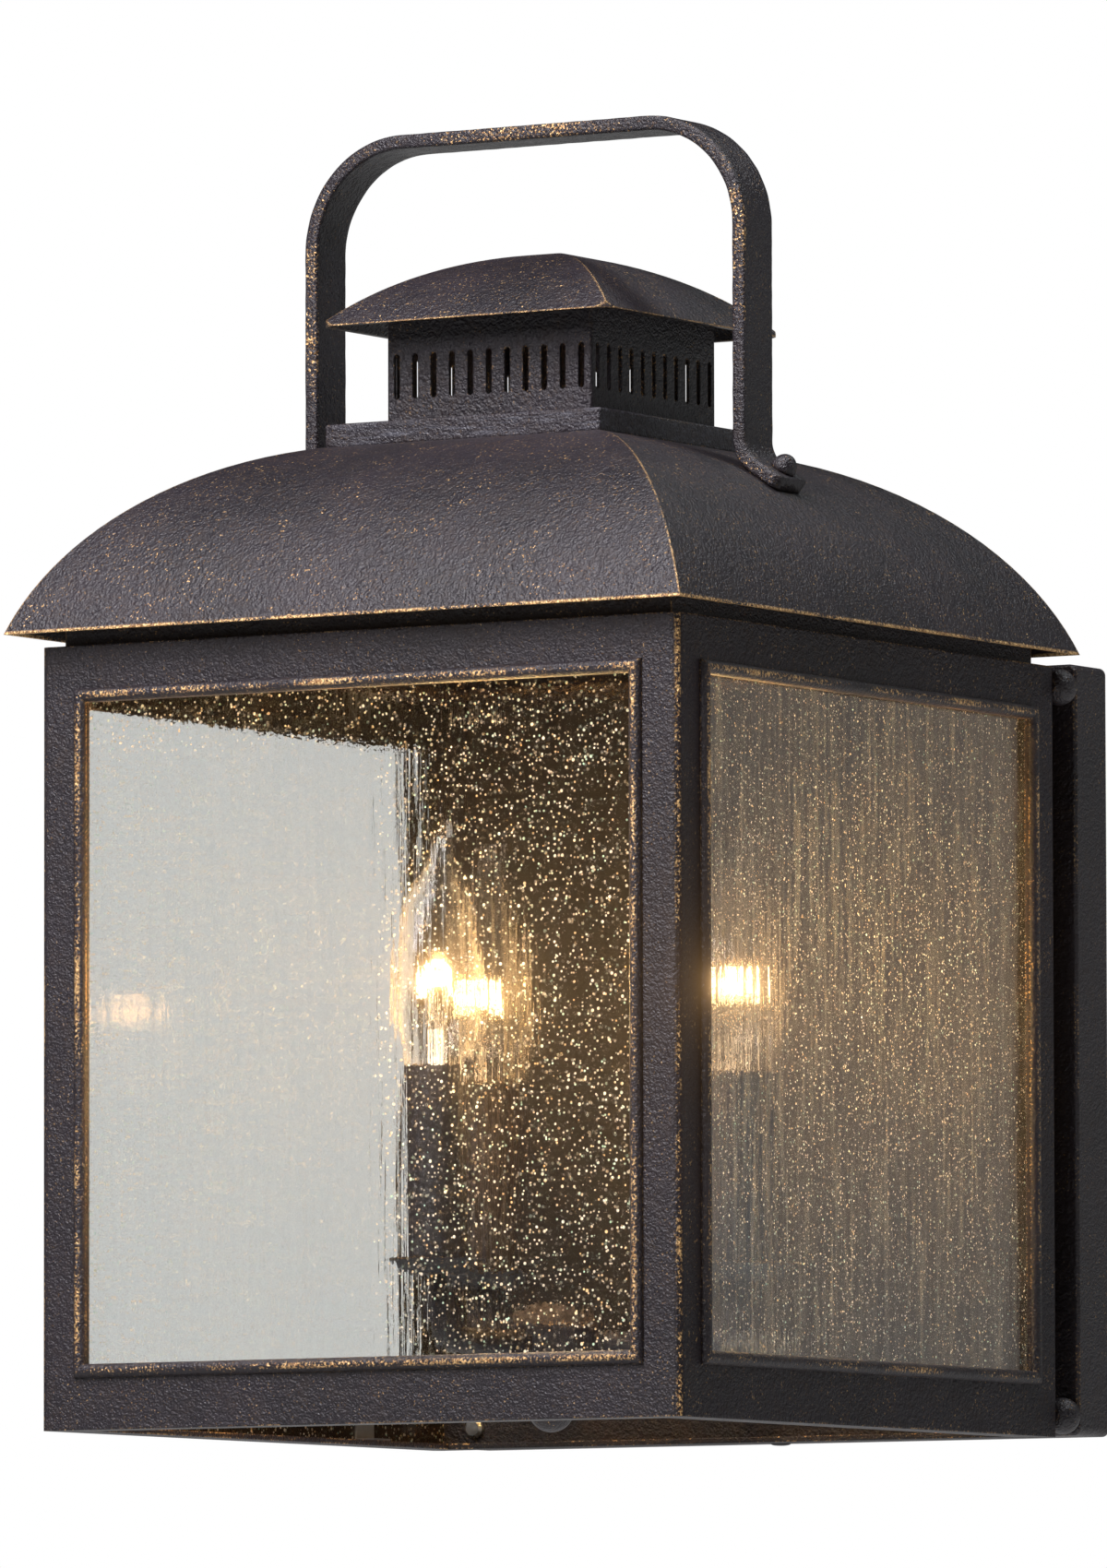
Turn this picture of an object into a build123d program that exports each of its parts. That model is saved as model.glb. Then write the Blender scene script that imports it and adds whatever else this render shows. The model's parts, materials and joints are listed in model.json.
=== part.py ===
from build123d import *

import os
from math import cos, hypot, radians, sin, sqrt

# Outdoor wall lantern with a curved roof, a vent box and a bail-shaped strap handle.
# The origin is the middle of the wall plate's back, on the wall: +Y points into the wall,
# +X to the right of someone who faces it, and +Z up.

os.makedirs("parts", exist_ok=True)

# Wall plate, a shallow pan that is open towards the wall
plate_width = 269.5
plate_height = 282.0
plate_depth = 22.2
plate_sheet = 1.5
plate_corner = 3.0
plate_bend = 0.9

# Gap between the wall plate and the body, held by four ball spacers
body_gap = 12.7
ball_diameter = 13.4
spacer_side = 2.2
spacer_end = 6.9
body_screw_side = 18.5
body_screw_radius = 2.0
body_nut_flats = 7.0
body_nut_height = 3.2

# Body, four mitred sheet walls with an inward flange along the top and the bottom
body_size = 267.0
body_height = 281.0
body_drop = 1.5
body_sheet = 2.0
body_corner = 3.5
flange_width = 14.0

# Windows, each with a half-round bead on its edge
post_width = 14.75
top_rail = 15.5
bottom_rail = 18.5
bead_radius = 2.5

# Panes and their clips
pane_thickness = 3.0
pane_gap = 0.4
clip_width = 12.0
clip_height = 10.0
clip_foot = 8.0
clip_sheet = 0.8
clip_end = 38.75

# Roof, four curved sides that meet at hips
eave_overhang = 8.0
roof_forward = 3.9
roof_lift = 4.2
roof_rise = 70.0
roof_radius = 109.2
roof_sheet = 1.5
deck_margin = 1.7

# Skirt inside the roof that stands on the body's top flange
skirt_inset = 6.5
skirt_sheet = 1.5
skirt_foot = 7.5
skirt_gap = 0.1
roof_screw_inset = 11.0
roof_screw_end = 43.5
roof_screw_radius = 1.5

# Collar and vent box
collar_size = 116.2
collar_height = 8.3
collar_sheet = 1.5
collar_edge = 1.0
vent_size = 86.6
vent_sheet = 1.2
vent_corner = 1.2
vent_foot = 8.0
slot_count = 11
slot_end = 4.3
slot_width = 2.4
slot_height = 16.4
slot_base = 9.6
slot_corner = 0.7
vent_screw_radius = 1.5

# Vent cap with its stud, strap and nut
cap_overhang = 18.2
cap_lift = 35.8
cap_rise = 28.5
cap_radius = 94.0
cap_sheet = 2.0
cap_corner = 8.0
stud_radius = 2.5
stud_tail = 3.0
strap_width = 18.0
strap_thickness = 2.0
strap_end_gap = 1.0
cap_nut_flats = 8.0
cap_nut_height = 4.0

# Handle, a flat bar bent to a U whose feet follow the roof
handle_rise = 117.7
handle_forward = 10.0
handle_width = 20.6
handle_thickness = 5.4
handle_corner = 38.3
handle_edge = 0.8
foot_slope = 34.0
foot_bend = 12.0
foot_gap = 0.05
foot_heel = 13.1
foot_straight = 10.0
toe_slope = 10.0
toe_bend = 9.0
toe_length = 9.9
rivet_radius = 2.5
rivet_head_radius = 4.7
rivet_head_height = 3.6
rivet_tail_height = 1.5

# Lamp cluster
cluster_turn = -96.6
cluster_forward = 1.7
cluster_reach = 65.0
lamp_count = 3
arm_height = 32.0
arm_radius = 4.75
arm_bore = 3.2
arm_bend = 15.0
tube_radius = 6.35
tube_bore = 4.8
tube_nut_flats = 19.0
tube_nut_height = 4.0
hub_radius = 18.0
hub_core = 13.0
hub_bottom = 17.4
hub_top = 47.0
hub_band = 7.0
knob_radius = 8.4
knob_neck_radius = 4.2
knob_height = 0.6
cup_height = 55.0
cup_radius = 17.5
cup_foot_radius = 10.5
cup_rise = 6.0
cup_floor = 2.0
sleeve_radius = 11.4
sleeve_wall = 1.0
sleeve_top = 129.8
socket_radius = 8.6
socket_bore = 6.3
socket_rim = 6.0
socket_length = 36.0
socket_depth = 22.0
socket_tail = 6.0

# Candle bulb: radius, and height above the sleeve's top, at the turns of its outline
bulb_foot = (6.0, -5.0)
bulb_neck = (9.8, 0.0)
bulb_swell = (14.7, 12.0)
bulb_belly = (16.2, 27.0)
bulb_taper = (14.6, 43.0)
bulb_shoulder = (11.4, 56.0)
# Its bent tip: radius, height and lean of each round section above the shoulder
bulb_tip = [(7.6, 66.0, 1.1), (4.6, 75.0, 2.4), (3.1, 82.0, 3.6), (1.2, 88.0, 4.5)]
bulb_wall = 0.8
base_radius = 5.95
base_height = 16.0
base_tip_radius = 3.2
base_tip_height = 2.5
filament_height = 31.0
filament_half = 5.0
stem_radius = 3.4
stem_neck_radius = 1.8
stem_height = 18.0
lead_radius = 0.35
lead_spread = 0.9
lead_bend = 1.0

# Wall bracket that fits a junction box
bracket_width = 32.0
bracket_sheet = 2.0
ear_reach = 12.0
box_slot_spacing = 79.4
box_slot_length = 20.0
box_slot_radius = 2.4
plate_screw_radius = 2.0
plate_screw_height = 8.0
ground_screw_x = 11.0
ground_screw_z = 66.0
ground_screw_radius = 2.0

# Fits
slip = 0.1
hole_gap = 0.2

# Screws, as shares of their shank's radius, and how far a thread passes its nut
screw_head_spread = 1.85
screw_head_rise = 1.2
screw_head_edge = 0.5
thread_end = 1.2

# Places that follow from the sizes
plate_face = -plate_depth
plate_inside = plate_face + plate_sheet
body_back = plate_face - body_gap
body_front = body_back - body_size
body_middle = body_back - body_size / 2
panel_inside = body_back - body_sheet
body_bottom = -body_height / 2 - body_drop
body_top = body_bottom + body_height
window_width = body_size - 2 * post_width - 4 * bead_radius
window_height = body_height - top_rail - bottom_rail - 4 * bead_radius
window_middle = body_bottom + bottom_rail + 2 * bead_radius + window_height / 2
roof_size = body_size + 2 * eave_overhang
roof_run = (roof_size - collar_size) / 2
roof_middle = body_middle - roof_forward
eave_level = body_top + roof_lift
deck_level = eave_level + roof_rise
collar_top = deck_level + collar_height
cap_size = vent_size + 2 * cap_overhang
cap_level = collar_top + cap_lift
handle_top = deck_level + handle_rise
handle_middle = body_middle - handle_forward

# The spacers and body screws keep to the corners of whichever is smaller, plate or body
spacer_x = min(body_size, plate_width) / 2 - spacer_side
body_screw_x = min(body_size, plate_width) / 2 - body_screw_side
spacer_low = max(body_bottom, -plate_height / 2) + spacer_end
spacer_high = min(body_top, plate_height / 2) - spacer_end
spacer_middle = (spacer_low + spacer_high) / 2
spacer_span = spacer_high - spacer_low


def square_plane(level):
    """Horizontal plane on the body's axis."""
    return Plane(origin=(0, body_middle, level), x_dir=(1, 0, 0), z_dir=(0, 0, 1))


def upright_plane(y, z=0, way=-1):
    """Plane across the lantern with its normal away from the wall, or towards it."""
    return Plane(origin=(0, y, z), x_dir=(1, 0, 0), z_dir=(0, way, 0))


def wall_plane(side):
    """Plane on the outside of a wall at the windows' middle, with its normal outward."""
    return {
        "front": Plane(origin=(0, body_front, window_middle), x_dir=(1, 0, 0), z_dir=(0, -1, 0)),
        "left": Plane(
            origin=(-body_size / 2, body_middle, window_middle), x_dir=(0, -1, 0), z_dir=(-1, 0, 0)
        ),
        "right": Plane(
            origin=(body_size / 2, body_middle, window_middle), x_dir=(0, 1, 0), z_dir=(1, 0, 0)
        ),
    }[side]


def arc_centre(run, rise, radius):
    """Centre of a curved side's arc, inward and up from the side's lower edge."""
    chord = hypot(run, rise)
    reach = sqrt(radius**2 - chord**2 / 4)
    return run / 2 + reach * rise / chord, rise / 2 - reach * run / chord


def arc_inset(height, centre, radius):
    """How far in from the lower edge the arc is at a height."""
    return centre[0] - sqrt(radius**2 - (height - centre[1]) ** 2)


def arc_height(inset, centre, radius):
    """How high the arc is at a distance in from the lower edge."""
    return centre[1] + sqrt(radius**2 - (centre[0] - inset) ** 2)


def dome_radius(half_width, height):
    """Radius of an arc whose middle stands this high over a chord of twice this half width."""
    return (half_width**2 + height**2) / (2 * height)


def vault(size, centre, radius, low, high, origin):
    """Solid under four curved sides that meet at hips, cut off flat at both heights."""
    half = size / 2
    outer = half - arc_inset(low, centre, radius)
    middle_height = (low + high) / 2
    middle = half - arc_inset(middle_height, centre, radius)
    inner = half - arc_inset(high, centre, radius)
    across = Plane(origin=origin, x_dir=(1, 0, 0), z_dir=(0, -1, 0))
    along = Plane(origin=origin, x_dir=(0, 1, 0), z_dir=(1, 0, 0))
    with BuildPart() as block:
        for plane, mode in ((across, Mode.ADD), (along, Mode.INTERSECT)):
            with BuildSketch(plane):
                with BuildLine():
                    Line((-outer, low), (outer, low))
                    ThreePointArc((outer, low), (middle, middle_height), (inner, high))
                    if inner > slip:
                        Line((inner, high), (-inner, high))
                    ThreePointArc((-inner, high), (-middle, middle_height), (-outer, low))
                make_face()
            extrude(amount=half, both=True, mode=mode)
    return block.part


def hexagon_nut(flats, height, bore):
    """Hexagon nut that stands on the XY plane."""
    with BuildPart() as nut:
        with BuildSketch():
            RegularPolygon(radius=flats / 2, side_count=6, major_radius=False)
            Circle(bore, mode=Mode.SUBTRACT)
        extrude(amount=height)
    return nut.part


def pan_screw(radius, length):
    """Screw whose head stands on the XY plane and whose shank points down."""
    with BuildPart() as screw:
        with BuildSketch():
            Circle(radius * screw_head_spread)
        extrude(amount=radius * screw_head_rise)
        chamfer(screw.faces().sort_by(Axis.Z)[-1].edges(), radius * screw_head_edge)
        with BuildSketch():
            Circle(radius)
        extrude(amount=-length)
    return screw.part


def save(part, name):
    """Label a finished piece and write it."""
    part.label = name
    export_step(part, f"parts/{name}.step")


# Body walls
roof_screw_x = body_size / 2 - roof_screw_inset
roof_screw_y = body_size / 2 - roof_screw_end


def body_wall(side):
    """One mitred wall with its flanges, before its openings are cut."""
    half = body_size / 2
    corners = {
        "front": [(-half, -half), (half, -half)],
        "right": [(half, -half), (half, half)],
        "back": [(half, half), (-half, half)],
        "left": [(-half, half), (-half, -half)],
    }[side]
    flange_hole = body_size - 2 * flange_width
    cavity = body_size - 2 * body_sheet
    with BuildPart() as wall:
        with BuildSketch(square_plane(body_bottom)):
            RectangleRounded(body_size, body_size, body_corner)
            Rectangle(flange_hole, flange_hole, mode=Mode.SUBTRACT)
        extrude(amount=body_height)
        with BuildSketch(square_plane(body_bottom + body_sheet)):
            Rectangle(cavity, cavity)
        extrude(amount=body_height - 2 * body_sheet, mode=Mode.SUBTRACT)
        with BuildSketch(square_plane(body_bottom)):
            with BuildLine():
                Polyline((0, 0), *corners, close=True)
            make_face()
        extrude(amount=body_height, mode=Mode.INTERSECT)
        with BuildSketch(square_plane(body_top - body_sheet)):
            with GridLocations(2 * roof_screw_x, 2 * roof_screw_y, 2, 2):
                Circle(roof_screw_radius + hole_gap)
        extrude(amount=body_sheet, mode=Mode.SUBTRACT)
    return wall.part


glazed_sides = ("front", "left", "right")
for side in glazed_sides:
    wall = body_wall(side)
    with BuildPart() as frame:
        add(wall)
        with BuildSketch(wall_plane(side)):
            Rectangle(window_width, window_height)
        extrude(amount=-2 * body_sheet, mode=Mode.SUBTRACT)
    save(frame.part, f"{side}_frame")

    face = wall_plane(side)
    reach_x = window_width / 2 + bead_radius
    reach_y = window_height / 2 + bead_radius
    with BuildPart() as bead:
        with BuildLine(face) as edge:
            Polyline(
                (0, -reach_y),
                (reach_x, -reach_y),
                (reach_x, reach_y),
                (-reach_x, reach_y),
                (-reach_x, -reach_y),
                (0, -reach_y),
            )
        with BuildSketch(Plane(origin=edge.line @ 0, x_dir=face.z_dir, z_dir=face.x_dir)):
            Circle(bead_radius)
            Rectangle(
                2 * bead_radius, 2 * bead_radius, align=(Align.MAX, Align.CENTER), mode=Mode.SUBTRACT
            )
        sweep(path=edge.line, transition=Transition.RIGHT)
    save(bead.part, f"{side}_bead")

back_wall = body_wall("back")
with BuildPart() as back_panel:
    add(back_wall)
    with BuildSketch(upright_plane(body_back)):
        with Locations((0, body_bottom + arm_height)):
            Circle(tube_radius + slip)
    with BuildSketch(upright_plane(body_back, spacer_middle)):
        with GridLocations(2 * body_screw_x, spacer_span, 2, 2):
            Circle(body_screw_radius + hole_gap)
    extrude(amount=body_sheet, mode=Mode.SUBTRACT)
save(back_panel.part, "back_panel")

# Panes, which stand on the bottom flanges against the walls
pane_bottom = body_bottom + body_sheet
pane_height = body_height - 2 * body_sheet - pane_gap
pane_front = body_front + body_sheet
pane_outside = body_size / 2 - body_sheet

with BuildPart() as front_pane:
    with BuildSketch(Plane.XY.offset(pane_bottom)):
        with Locations((0, pane_front)):
            Rectangle(2 * (pane_outside - pane_gap), pane_thickness, align=(Align.CENTER, Align.MIN))
    extrude(amount=pane_height)
save(front_pane.part, "front_pane")

side_pane_front = pane_front + pane_thickness + pane_gap
side_pane_length = panel_inside - pane_gap - side_pane_front
for name, outside, align_x in (
    ("left_pane", -pane_outside, Align.MIN),
    ("right_pane", pane_outside, Align.MAX),
):
    with BuildPart() as side_pane:
        with BuildSketch(Plane.XY.offset(pane_bottom)):
            with Locations((outside, side_pane_front)):
                Rectangle(pane_thickness, side_pane_length, align=(align_x, Align.MIN))
        extrude(amount=pane_height)
    save(side_pane.part, name)

# Clips, bent tabs on the flanges that hold each pane at its top and bottom
clip_x = window_width / 2 - clip_end
with BuildPart() as glass_clips:
    for side in glazed_sides:
        face = wall_plane(side)
        inward = face.z_dir * -1
        for place, end in ((place, end) for place in (-clip_x, clip_x) for end in (-1, 1)):
            level = pane_bottom if end < 0 else body_top - body_sheet
            corner = face.from_local_coords(
                (place, level - window_middle, -(body_sheet + pane_thickness))
            )
            tab = Plane(origin=corner, x_dir=inward, z_dir=inward.cross(Vector(0, 0, -end)))
            with BuildSketch(tab):
                with BuildLine():
                    Polyline(
                        (0, 0),
                        (clip_foot, 0),
                        (clip_foot, clip_sheet),
                        (clip_sheet, clip_sheet),
                        (clip_sheet, clip_height),
                        (0, clip_height),
                        close=True,
                    )
                make_face()
            extrude(amount=clip_width / 2, both=True)
save(glass_clips.part, "glass_clips")

# Roof: the curved shell, open below, with a square hole in its flat deck
roof_centre = arc_centre(roof_run, roof_rise, roof_radius)
roof_origin = (0, roof_middle, eave_level)
deck_hole = vent_size + 2 * deck_margin
foot_normal = Vector(sin(radians(foot_slope)), 0, cos(radians(foot_slope)))
foot_along = Vector(cos(radians(foot_slope)), 0, -sin(radians(foot_slope)))
side_arc_centre = Vector(roof_size / 2 - roof_centre[0], handle_middle, eave_level + roof_centre[1])
foot_touch = side_arc_centre + foot_normal * roof_radius


def rivet_plane(hand):
    """Plane across a rivet, on the roof's tangent under the handle's foot."""
    return Plane(
        origin=(hand * foot_touch.X, foot_touch.Y, foot_touch.Z),
        x_dir=(0, 1, 0),
        z_dir=(hand * foot_normal.X, 0, foot_normal.Z),
    )


roof_inner_radius = roof_radius - roof_sheet
roof_outside = vault(roof_size, roof_centre, roof_radius, 0, roof_rise, roof_origin)
roof_inside = vault(
    roof_size, roof_centre, roof_inner_radius, 0, roof_rise - roof_sheet, roof_origin
)
with BuildPart() as roof_dome:
    add(roof_outside)
    add(roof_inside, mode=Mode.SUBTRACT)
    with BuildSketch(square_plane(deck_level)):
        Rectangle(deck_hole, deck_hole)
    extrude(amount=-2 * roof_sheet, mode=Mode.SUBTRACT)
    for hand in (-1, 1):
        with BuildSketch(rivet_plane(hand)):
            Circle(rivet_radius + slip)
        extrude(amount=2 * roof_sheet, both=True, mode=Mode.SUBTRACT)
save(roof_dome.part, "roof_dome")

# Skirt: a ring with an inward foot that fills the height between flange and roof
skirt_size = body_size - 2 * skirt_inset
skirt_height = roof_lift + roof_rise / 2
under_roof = vault(
    roof_size,
    roof_centre,
    roof_inner_radius - skirt_gap,
    -roof_lift,
    roof_rise - 2 * roof_sheet,
    roof_origin,
)
with BuildPart() as roof_skirt:
    for wall, height in ((skirt_foot, skirt_sheet), (skirt_sheet, skirt_height)):
        with BuildSketch(square_plane(body_top)):
            Rectangle(skirt_size, skirt_size)
            Rectangle(skirt_size - 2 * wall, skirt_size - 2 * wall, mode=Mode.SUBTRACT)
        extrude(amount=height)
    add(under_roof, mode=Mode.INTERSECT)
    with BuildSketch(square_plane(body_top)):
        with GridLocations(2 * roof_screw_x, 2 * roof_screw_y, 2, 2):
            Circle(roof_screw_radius + slip)
    extrude(amount=skirt_sheet, mode=Mode.SUBTRACT)
save(roof_skirt.part, "roof_skirt")

roof_screw = pan_screw(roof_screw_radius, body_sheet + skirt_sheet + thread_end)
under_flange = Plane(
    origin=(0, body_middle, body_top - body_sheet), x_dir=(1, 0, 0), z_dir=(0, 0, -1)
)
with BuildPart() as roof_screws:
    with Locations(under_flange):
        with GridLocations(2 * roof_screw_x, 2 * roof_screw_y, 2, 2):
            add(roof_screw)
save(roof_screws.part, "roof_screws")

# Collar: a low upturned pan on the roof's deck
collar_plane = Plane(origin=(0, roof_middle, deck_level), x_dir=(1, 0, 0), z_dir=(0, 0, 1))
collar_inside = collar_size - 2 * collar_sheet
vent_inside = vent_size - 2 * vent_sheet
vent_opening = vent_inside - 2 * vent_foot
vent_screw_x = (vent_inside - vent_foot) / 2
with BuildPart() as roof_collar:
    with BuildSketch(collar_plane):
        Rectangle(collar_size, collar_size)
    extrude(amount=collar_height)
    fillet(roof_collar.edges().filter_by(Axis.Z), collar_edge)
    fillet(roof_collar.faces().sort_by(Axis.Z)[-1].edges(), collar_edge)
    with BuildSketch(collar_plane):
        Rectangle(collar_inside, collar_inside)
    extrude(amount=collar_height - collar_sheet, mode=Mode.SUBTRACT)
    with BuildSketch(square_plane(deck_level)):
        Rectangle(vent_opening, vent_opening)
        with GridLocations(2 * vent_screw_x, 2 * vent_screw_x, 2, 2):
            Circle(vent_screw_radius + slip)
    extrude(amount=collar_height, mode=Mode.SUBTRACT)
save(roof_collar.part, "roof_collar")

# Vent box: a sheet box with upright slots, an inward foot and an inward top flange
cap_centre = arc_centre(cap_size / 2, cap_rise, cap_radius)
cap_inner_radius = cap_radius - cap_sheet
vent_top = cap_level + arc_height(cap_overhang, cap_centre, cap_inner_radius) - slip
vent_height = vent_top - collar_top
slot_pitch = (vent_size - 2 * slot_end) / (slot_count - 1)
slot_middle = collar_top + slot_base + slot_height / 2
vent_front = upright_plane(body_middle, slot_middle)
vent_side = Plane(origin=vent_front.origin, x_dir=(0, 1, 0), z_dir=(1, 0, 0))
with BuildPart() as vent_box:
    with BuildSketch(square_plane(collar_top)):
        RectangleRounded(vent_size, vent_size, vent_corner)
        Rectangle(vent_opening, vent_opening, mode=Mode.SUBTRACT)
    extrude(amount=vent_height)
    with BuildSketch(square_plane(collar_top + vent_sheet)):
        Rectangle(vent_inside, vent_inside)
    extrude(amount=vent_height - 2 * vent_sheet, mode=Mode.SUBTRACT)
    for plane in (vent_front, vent_side):
        with BuildSketch(plane):
            with GridLocations(slot_pitch, 0, slot_count, 1):
                slots = Rectangle(slot_width, slot_height)
            chamfer(slots.vertices(), slot_corner)
        extrude(amount=vent_size, both=True, mode=Mode.SUBTRACT)
    with BuildSketch(square_plane(collar_top)):
        with GridLocations(2 * vent_screw_x, 2 * vent_screw_x, 2, 2):
            Circle(vent_screw_radius + hole_gap)
    extrude(amount=vent_sheet, mode=Mode.SUBTRACT)
save(vent_box.part, "vent_box")

vent_screw = pan_screw(vent_screw_radius, vent_sheet + collar_sheet + thread_end)
with BuildPart() as vent_screws:
    with Locations(square_plane(collar_top + vent_sheet)):
        with GridLocations(2 * vent_screw_x, 2 * vent_screw_x, 2, 2):
            add(vent_screw)
save(vent_screws.part, "vent_screws")

# Vent cap with a stud under its crown, held by a strap and a nut inside the box
strap_top = vent_top - vent_sheet
strap_bottom = strap_top - strap_thickness
stud_bottom = strap_bottom - cap_nut_height - stud_tail
cap_origin = (0, body_middle, cap_level)
crown_level = cap_level + arc_height(cap_size / 2, cap_centre, cap_inner_radius)
cap_outside = vault(cap_size, cap_centre, cap_radius, 0, cap_rise, cap_origin)
cap_inside = vault(
    cap_size, cap_centre, cap_inner_radius, 0, crown_level - cap_level, cap_origin
)
with BuildPart() as vent_cap:
    add(cap_outside)
    with BuildSketch(square_plane(cap_level)):
        RectangleRounded(cap_size, cap_size, cap_corner)
    extrude(amount=cap_rise, mode=Mode.INTERSECT)
    add(cap_inside, mode=Mode.SUBTRACT)
    with BuildSketch(square_plane(stud_bottom)):
        Circle(stud_radius)
    extrude(amount=crown_level + cap_sheet / 2 - stud_bottom)
save(vent_cap.part, "vent_cap")

with BuildPart() as cap_strap:
    with BuildSketch(square_plane(strap_bottom)):
        Rectangle(vent_inside - 2 * strap_end_gap, strap_width)
        Circle(stud_radius + slip, mode=Mode.SUBTRACT)
    extrude(amount=strap_thickness)
save(cap_strap.part, "cap_strap")

stud_nut = hexagon_nut(cap_nut_flats, cap_nut_height, stud_radius + slip)
with BuildPart() as cap_nut:
    with Locations(square_plane(strap_bottom - cap_nut_height)):
        add(stud_nut)
save(cap_nut.part, "cap_nut")

# Handle: the bar's middle line follows the roof at each foot
foot_line = foot_touch + foot_normal * (handle_thickness / 2 + foot_gap)
ankle = foot_line - foot_along * foot_heel
toe = foot_line + foot_along * foot_straight
toe_tip = toe + Vector(cos(radians(toe_slope)), 0, -sin(radians(toe_slope))) * toe_length
bend_points = [toe_tip, toe, ankle, Vector(ankle.X, 0, handle_top - handle_thickness / 2)]
route = [(-point.X, point.Z) for point in bend_points]
route += [(point.X, point.Z) for point in reversed(bend_points)]
half_bends = [toe_bend, foot_bend, handle_corner]
with BuildPart() as handle_strap:
    with BuildLine(upright_plane(handle_middle)) as middle_line:
        FilletPolyline(*route, radius=half_bends + list(reversed(half_bends)))
    with BuildSketch(
        Plane(origin=middle_line.line @ 0, x_dir=(0, 1, 0), z_dir=middle_line.line % 0)
    ):
        section = Rectangle(handle_width, handle_thickness)
        chamfer(section.vertices(), handle_edge)
    sweep(path=middle_line.line)
    for hand in (-1, 1):
        with BuildSketch(rivet_plane(hand)):
            Circle(rivet_radius + slip)
        extrude(amount=2 * handle_thickness, mode=Mode.SUBTRACT)
save(handle_strap.part, "handle_strap")

# Rivets: a dome above the strap and a flat head inside the roof
strap_face = foot_gap + handle_thickness
tail_face = sqrt(roof_inner_radius**2 - rivet_head_radius**2) - roof_radius
rivet_top = strap_face + rivet_head_height
with BuildPart() as rivet:
    with BuildSketch(Plane.XZ):
        with BuildLine():
            Polyline(
                (0, rivet_top),
                (0, tail_face - rivet_tail_height),
                (rivet_head_radius, tail_face - rivet_tail_height),
                (rivet_head_radius, tail_face),
                (rivet_radius, tail_face),
                (rivet_radius, strap_face),
                (rivet_head_radius, strap_face),
            )
            RadiusArc(
                (rivet_head_radius, strap_face),
                (0, rivet_top),
                -dome_radius(rivet_head_radius, rivet_head_height),
            )
        make_face()
    revolve(axis=Axis.Z)
with BuildPart() as handle_rivets:
    with Locations(rivet_plane(-1), rivet_plane(1)):
        add(rivet)
save(handle_rivets.part, "handle_rivets")

# Ball spacers, flattened where they meet the plate and the body
with BuildPart() as ball_spacers:
    with Locations(upright_plane(plate_face - body_gap / 2, spacer_middle)):
        with GridLocations(2 * spacer_x, spacer_span, 2, 2):
            Sphere(ball_diameter / 2)
    with BuildSketch(upright_plane(plate_face)):
        Rectangle(2 * plate_width, 2 * plate_height)
    extrude(amount=body_gap, mode=Mode.INTERSECT)
save(ball_spacers.part, "ball_spacers")

# Wall plate
with BuildPart() as wall_plate:
    with BuildSketch(upright_plane(plate_face)):
        RectangleRounded(plate_width, plate_height, plate_corner)
    extrude(amount=-plate_depth)
    chamfer(wall_plate.faces().sort_by(Axis.Y)[0].edges(), plate_bend)
    with BuildSketch(upright_plane(0)):
        Rectangle(plate_width - 2 * plate_sheet, plate_height - 2 * plate_sheet)
    extrude(amount=plate_depth - plate_sheet, mode=Mode.SUBTRACT)
    with BuildSketch(upright_plane(plate_face)):
        with Locations((0, body_bottom + arm_height)):
            Circle(tube_radius + slip)
    with BuildSketch(upright_plane(plate_face, spacer_middle)):
        with GridLocations(2 * body_screw_x, spacer_span, 2, 2):
            Circle(body_screw_radius + hole_gap)
    extrude(amount=-plate_sheet, mode=Mode.SUBTRACT)
    with BuildSketch(Plane.XY.offset(-plate_height / 2)):
        with Locations((0, -plate_screw_height)):
            Circle(plate_screw_radius + hole_gap)
    extrude(amount=plate_height, mode=Mode.SUBTRACT)
save(wall_plate.part, "wall_plate")

# Body screws and nuts, which pull the body against the ball spacers
body_screw_length = body_sheet + body_gap + plate_sheet + body_nut_height + thread_end
body_screw = pan_screw(body_screw_radius, body_screw_length)
with BuildPart() as body_screws:
    with Locations(upright_plane(panel_inside, spacer_middle)):
        with GridLocations(2 * body_screw_x, spacer_span, 2, 2):
            add(body_screw)
save(body_screws.part, "body_screws")

body_nut = hexagon_nut(body_nut_flats, body_nut_height, body_screw_radius + slip)
with BuildPart() as body_nuts:
    with Locations(upright_plane(plate_inside, spacer_middle, way=1)):
        with GridLocations(2 * body_screw_x, spacer_span, 2, 2):
            add(body_nut)
save(body_nuts.part, "body_nuts")

# Wall bracket: a strap on the junction box with an ear at each end inside the plate
ear_level = plate_height / 2 - plate_sheet
with BuildPart() as wall_bracket:
    with BuildSketch(upright_plane(0)):
        Rectangle(bracket_width, 2 * ear_level)
        with GridLocations(0, box_slot_spacing, 1, 2):
            SlotOverall(box_slot_length, 2 * box_slot_radius, rotation=90, mode=Mode.SUBTRACT)
        with Locations((ground_screw_x, ground_screw_z)):
            Circle(ground_screw_radius + slip, mode=Mode.SUBTRACT)
    extrude(amount=bracket_sheet)
    for end in (-1, 1):
        ear = Plane(origin=(0, 0, end * ear_level), x_dir=(end, 0, 0), z_dir=(0, 0, -end))
        with BuildSketch(ear):
            Rectangle(bracket_width, ear_reach, align=(Align.CENTER, Align.MIN))
            with Locations((0, plate_screw_height)):
                Circle(plate_screw_radius + slip, mode=Mode.SUBTRACT)
        extrude(amount=bracket_sheet)
save(wall_bracket.part, "wall_bracket")

plate_screw = pan_screw(plate_screw_radius, plate_sheet + bracket_sheet + thread_end)
plate_ends = [
    Plane(origin=(0, -plate_screw_height, end * plate_height / 2), x_dir=(1, 0, 0), z_dir=(0, 0, end))
    for end in (-1, 1)
]
with BuildPart() as plate_screws:
    with Locations(*plate_ends):
        add(plate_screw)
save(plate_screws.part, "plate_screws")

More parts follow.
